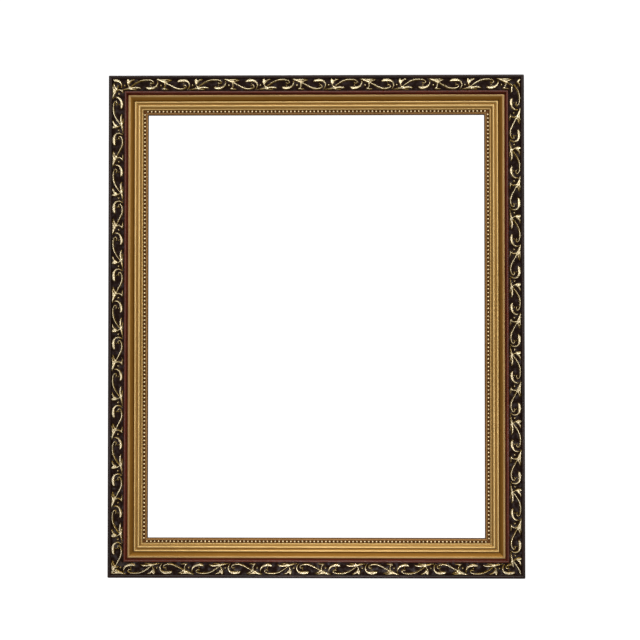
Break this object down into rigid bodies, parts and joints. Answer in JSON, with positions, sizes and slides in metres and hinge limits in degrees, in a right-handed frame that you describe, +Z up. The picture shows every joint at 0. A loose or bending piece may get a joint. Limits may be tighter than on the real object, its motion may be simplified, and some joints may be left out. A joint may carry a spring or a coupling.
{
  "type": "ornate picture frame",
  "caption": "Open rectangular picture frame of mitred dark and gilded moulding with a running scroll band, pearl beading, a rebate, hanging rings and turn buttons on its back.",
  "frame": {"origin": "middle of the picture opening, in the plane of the rails' backs", "axes": "+Z up, +X to the right seen from the front, face towards -Y, wall towards +Y"},
  "size_m": [0.48, 0.0289, 0.58],
  "materials": {
    "stained_moulding": "dark stained and lacquered outside, bronze gold inside, raw wood at the back",
    "scroll_composition": "gold leafed relief on a near-black ground",
    "gilt_pearls": "bronze gold, dark between the pearls",
    "nail_steel": "plain",
    "hanger_brass": "bright plated",
    "screw_steel": "yellow zinc plated",
    "button_steel": "zinc plated"
  },
  "bodies": {
    "frame": {"top_rail": "stained_moulding", "right_rail": "stained_moulding", "bottom_rail": "stained_moulding", "left_rail": "stained_moulding", "top_scroll_strip": "scroll_composition", "right_scroll_strip": "scroll_composition", "bottom_scroll_strip": "scroll_composition", "left_scroll_strip": "scroll_composition", "top_pearl_strip": "gilt_pearls", "right_pearl_strip": "gilt_pearls", "bottom_pearl_strip": "gilt_pearls", "left_pearl_strip": "gilt_pearls", "top_left_v_nails": "nail_steel", "top_right_v_nails": "nail_steel", "bottom_left_v_nails": "nail_steel", "bottom_right_v_nails": "nail_steel", "left_hanger_strap": "hanger_brass", "right_hanger_strap": "hanger_brass", "hanger_screws": "screw_steel", "button_screws": "screw_steel"},
    "left_ring": {"left_d_ring": "hanger_brass"},
    "right_ring": {"right_d_ring": "hanger_brass"},
    "top_turn_button": {"top_turn_button": "button_steel"},
    "bottom_turn_button": {"bottom_turn_button": "button_steel"},
    "upper_left_turn_button": {"upper_left_turn_button": "button_steel"},
    "lower_left_turn_button": {"lower_left_turn_button": "button_steel"},
    "upper_right_turn_button": {"upper_right_turn_button": "button_steel"},
    "lower_right_turn_button": {"lower_right_turn_button": "button_steel"}
  },
  "joints": [
    {"name": "left_ring_swing", "type": "hinge", "parent": "frame", "child": "left_ring", "pos_m": [-0.217, 0.00196, 0.1], "axis": [0, 0, 1], "range_deg": [0, 165]},
    {"name": "right_ring_swing", "type": "hinge", "parent": "frame", "child": "right_ring", "pos_m": [0.217, 0.00196, 0.1], "axis": [0, 0, -1], "range_deg": [0, 165]},
    {"name": "top_turn_button_spin", "type": "hinge", "parent": "frame", "child": "top_turn_button", "pos_m": [0, 0.0007, 0.257], "axis": [0, 1, 0], "continuous": true},
    {"name": "bottom_turn_button_spin", "type": "hinge", "parent": "frame", "child": "bottom_turn_button", "pos_m": [0, 0.0007, -0.257], "axis": [0, 1, 0], "continuous": true},
    {"name": "upper_left_turn_button_spin", "type": "hinge", "parent": "frame", "child": "upper_left_turn_button", "pos_m": [-0.207, 0.0007, 0.14], "axis": [0, 1, 0], "continuous": true},
    {"name": "lower_left_turn_button_spin", "type": "hinge", "parent": "frame", "child": "lower_left_turn_button", "pos_m": [-0.207, 0.0007, -0.14], "axis": [0, 1, 0], "continuous": true},
    {"name": "upper_right_turn_button_spin", "type": "hinge", "parent": "frame", "child": "upper_right_turn_button", "pos_m": [0.207, 0.0007, 0.14], "axis": [0, 1, 0], "continuous": true},
    {"name": "lower_right_turn_button_spin", "type": "hinge", "parent": "frame", "child": "lower_right_turn_button", "pos_m": [0.207, 0.0007, -0.14], "axis": [0, 1, 0], "continuous": true}
  ]
}
